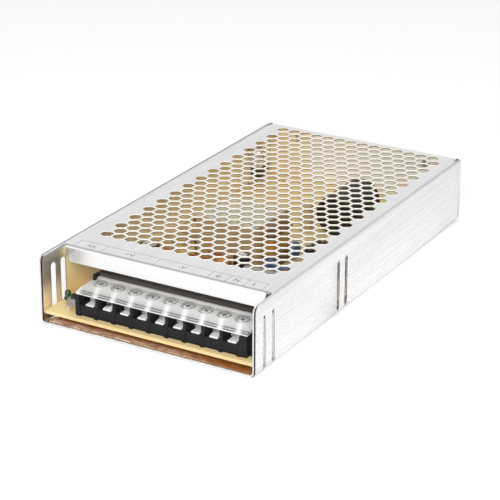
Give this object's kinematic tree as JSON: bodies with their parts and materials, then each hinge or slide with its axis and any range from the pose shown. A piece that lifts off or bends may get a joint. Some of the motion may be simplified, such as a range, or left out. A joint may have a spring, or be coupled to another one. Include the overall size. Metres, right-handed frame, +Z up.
{
  "type": "enclosed power supply",
  "caption": "Slim enclosed power supply: folded metal case, honeycomb cover, circuit board inside, and a screw terminal strip under a hinged clear lid.",
  "frame": {"origin": "centre of the mounting hole pattern on the underside of the case", "axes": "+Y from the terminal end to the back, +Z up out of the perforated cover, +X right"},
  "size_m": [0.115, 0.2169, 0.0345],
  "materials": {
    "chassis_aluminium": "brushed along the length, bright cut edges",
    "cover_aluminium": "fine satin, punched",
    "screw_steel": "zinc plated",
    "insulating_film": "smooth amber film",
    "board_laminate": "tan laminate",
    "terminal_black": "moulded, satin",
    "terminal_tin": "bright tin plate",
    "lid_clear": "clear moulding",
    "trimmer_grey": "moulded",
    "rotor_black": "moulded",
    "lamp_green": "tinted, glossy",
    "fuse_ceramic": "glazed tube",
    "clip_plated": "nickel plated",
    "inrush_dark": "dipped coating",
    "varistor_red": "dipped coating",
    "box_grey": "moulded box",
    "disc_blue": "dipped coating",
    "ferrite_dark": "fired ferrite",
    "ferrite_grey": "ground ferrite",
    "powder_core": "painted powder core",
    "copper_wire": "enamelled wire",
    "base_black": "moulded",
    "package_black": "moulded epoxy",
    "sleeve_black": "shrink sleeve",
    "bobbin_brown": "moulded phenolic",
    "tape_yellow": "wrapped tape",
    "bar_aluminium": "sawn extrusion",
    "pad_grey": "soft pad",
    "resistor_tan": "lacquered",
    "film_brown": "dipped coating"
  },
  "bodies": {
    "case": {"chassis": "chassis_aluminium", "cover": "cover_aluminium", "cover_screws": "screw_steel", "insulating_film": "insulating_film", "board_standoffs": "screw_steel", "board_screws": "screw_steel", "circuit_board": "board_laminate", "terminal_base": "terminal_black", "terminal_plates": "terminal_tin", "trimmer_body": "trimmer_grey", "status_lamp": "lamp_green", "fuse_body": "fuse_ceramic", "fuse_caps": "clip_plated", "fuse_clips": "clip_plated", "inrush_thermistor": "inrush_dark", "surge_varistor": "varistor_red", "x_capacitor": "box_grey", "y_capacitors": "disc_blue", "line_choke_core": "ferrite_dark", "line_choke_winding": "copper_wire", "line_choke_base": "base_black", "bridge_rectifier": "package_black", "bulk_capacitor": "sleeve_black", "transformer_core": "ferrite_grey", "transformer_bobbin": "bobbin_brown", "transformer_winding": "tape_yellow", "heat_bars": "bar_aluminium", "thermal_pads": "pad_grey", "switching_transistors": "package_black", "output_rectifiers": "package_black", "device_screws": "screw_steel", "output_choke_core": "powder_core", "output_choke_winding": "copper_wire", "output_capacitors": "sleeve_black", "small_capacitors": "sleeve_black", "control_chip": "package_black", "optocouplers": "package_black", "power_resistors": "resistor_tan", "film_capacitor": "film_brown"},
    "terminal_lid": {"terminal_lid": "lid_clear"},
    "trimmer_rotor": {"trimmer_rotor": "rotor_black"},
    "terminal_washer_1": {"terminal_washer_1": "terminal_tin"},
    "terminal_screw_1": {"terminal_screw_1": "terminal_tin"},
    "terminal_washer_2": {"terminal_washer_2": "terminal_tin"},
    "terminal_screw_2": {"terminal_screw_2": "terminal_tin"},
    "terminal_washer_3": {"terminal_washer_3": "terminal_tin"},
    "terminal_screw_3": {"terminal_screw_3": "terminal_tin"},
    "terminal_washer_4": {"terminal_washer_4": "terminal_tin"},
    "terminal_screw_4": {"terminal_screw_4": "terminal_tin"},
    "terminal_washer_5": {"terminal_washer_5": "terminal_tin"},
    "terminal_screw_5": {"terminal_screw_5": "terminal_tin"},
    "terminal_washer_6": {"terminal_washer_6": "terminal_tin"},
    "terminal_screw_6": {"terminal_screw_6": "terminal_tin"},
    "terminal_washer_7": {"terminal_washer_7": "terminal_tin"},
    "terminal_screw_7": {"terminal_screw_7": "terminal_tin"},
    "terminal_washer_8": {"terminal_washer_8": "terminal_tin"},
    "terminal_screw_8": {"terminal_screw_8": "terminal_tin"},
    "terminal_washer_9": {"terminal_washer_9": "terminal_tin"},
    "terminal_screw_9": {"terminal_screw_9": "terminal_tin"}
  },
  "joints": [
    {"name": "lid_hinge", "type": "hinge", "parent": "case", "child": "terminal_lid", "pos_m": [0, -0.08695, 0.01926], "axis": [-1, 0, 0], "range_deg": [0, 50]},
    {"name": "trimmer_turn", "type": "hinge", "parent": "case", "child": "trimmer_rotor", "pos_m": [-0.0437, -0.0993, 0.0135], "axis": [0, 0, 1], "range_deg": [-135, 135]},
    {"name": "washer_1_lift", "type": "slide", "parent": "case", "child": "terminal_washer_1", "axis": [0, 0, 1], "range_m": [0, 0.0012]},
    {"name": "screw_1_turn", "type": "hinge", "parent": "terminal_washer_1", "child": "terminal_screw_1", "pos_m": [-0.03375, -0.0919, 0.0145], "axis": [0, 0, 1], "range_deg": [0, 720]},
    {"name": "washer_2_lift", "type": "slide", "parent": "case", "child": "terminal_washer_2", "axis": [0, 0, 1], "range_m": [0, 0.0012]},
    {"name": "screw_2_turn", "type": "hinge", "parent": "terminal_washer_2", "child": "terminal_screw_2", "pos_m": [-0.02425, -0.0919, 0.0145], "axis": [0, 0, 1], "range_deg": [0, 720]},
    {"name": "washer_3_lift", "type": "slide", "parent": "case", "child": "terminal_washer_3", "axis": [0, 0, 1], "range_m": [0, 0.0012]},
    {"name": "screw_3_turn", "type": "hinge", "parent": "terminal_washer_3", "child": "terminal_screw_3", "pos_m": [-0.01475, -0.0919, 0.0145], "axis": [0, 0, 1], "range_deg": [0, 720]},
    {"name": "washer_4_lift", "type": "slide", "parent": "case", "child": "terminal_washer_4", "axis": [0, 0, 1], "range_m": [0, 0.0012]},
    {"name": "screw_4_turn", "type": "hinge", "parent": "terminal_washer_4", "child": "terminal_screw_4", "pos_m": [-0.00525, -0.0919, 0.0145], "axis": [0, 0, 1], "range_deg": [0, 720]},
    {"name": "washer_5_lift", "type": "slide", "parent": "case", "child": "terminal_washer_5", "axis": [0, 0, 1], "range_m": [0, 0.0012]},
    {"name": "screw_5_turn", "type": "hinge", "parent": "terminal_washer_5", "child": "terminal_screw_5", "pos_m": [0.00425, -0.0919, 0.0145], "axis": [0, 0, 1], "range_deg": [0, 720]},
    {"name": "washer_6_lift", "type": "slide", "parent": "case", "child": "terminal_washer_6", "axis": [0, 0, 1], "range_m": [0, 0.0012]},
    {"name": "screw_6_turn", "type": "hinge", "parent": "terminal_washer_6", "child": "terminal_screw_6", "pos_m": [0.01375, -0.0919, 0.0145], "axis": [0, 0, 1], "range_deg": [0, 720]},
    {"name": "washer_7_lift", "type": "slide", "parent": "case", "child": "terminal_washer_7", "axis": [0, 0, 1], "range_m": [0, 0.0012]},
    {"name": "screw_7_turn", "type": "hinge", "parent": "terminal_washer_7", "child": "terminal_screw_7", "pos_m": [0.02325, -0.0919, 0.0145], "axis": [0, 0, 1], "range_deg": [0, 720]},
    {"name": "washer_8_lift", "type": "slide", "parent": "case", "child": "terminal_washer_8", "axis": [0, 0, 1], "range_m": [0, 0.0012]},
    {"name": "screw_8_turn", "type": "hinge", "parent": "terminal_washer_8", "child": "terminal_screw_8", "pos_m": [0.03275, -0.0919, 0.0145], "axis": [0, 0, 1], "range_deg": [0, 720]},
    {"name": "washer_9_lift", "type": "slide", "parent": "case", "child": "terminal_washer_9", "axis": [0, 0, 1], "range_m": [0, 0.0012]},
    {"name": "screw_9_turn", "type": "hinge", "parent": "terminal_washer_9", "child": "terminal_screw_9", "pos_m": [0.04225, -0.0919, 0.0145], "axis": [0, 0, 1], "range_deg": [0, 720]}
  ],
  "couplings": [
    {"joint": "screw_1_turn", "follows": "washer_1_lift", "rad_per_m": 10472},
    {"joint": "screw_2_turn", "follows": "washer_2_lift", "rad_per_m": 10472},
    {"joint": "screw_3_turn", "follows": "washer_3_lift", "rad_per_m": 10472},
    {"joint": "screw_4_turn", "follows": "washer_4_lift", "rad_per_m": 10472},
    {"joint": "screw_5_turn", "follows": "washer_5_lift", "rad_per_m": 10472},
    {"joint": "screw_6_turn", "follows": "washer_6_lift", "rad_per_m": 10472},
    {"joint": "screw_7_turn", "follows": "washer_7_lift", "rad_per_m": 10472},
    {"joint": "screw_8_turn", "follows": "washer_8_lift", "rad_per_m": 10472},
    {"joint": "screw_9_turn", "follows": "washer_9_lift", "rad_per_m": 10472}
  ]
}
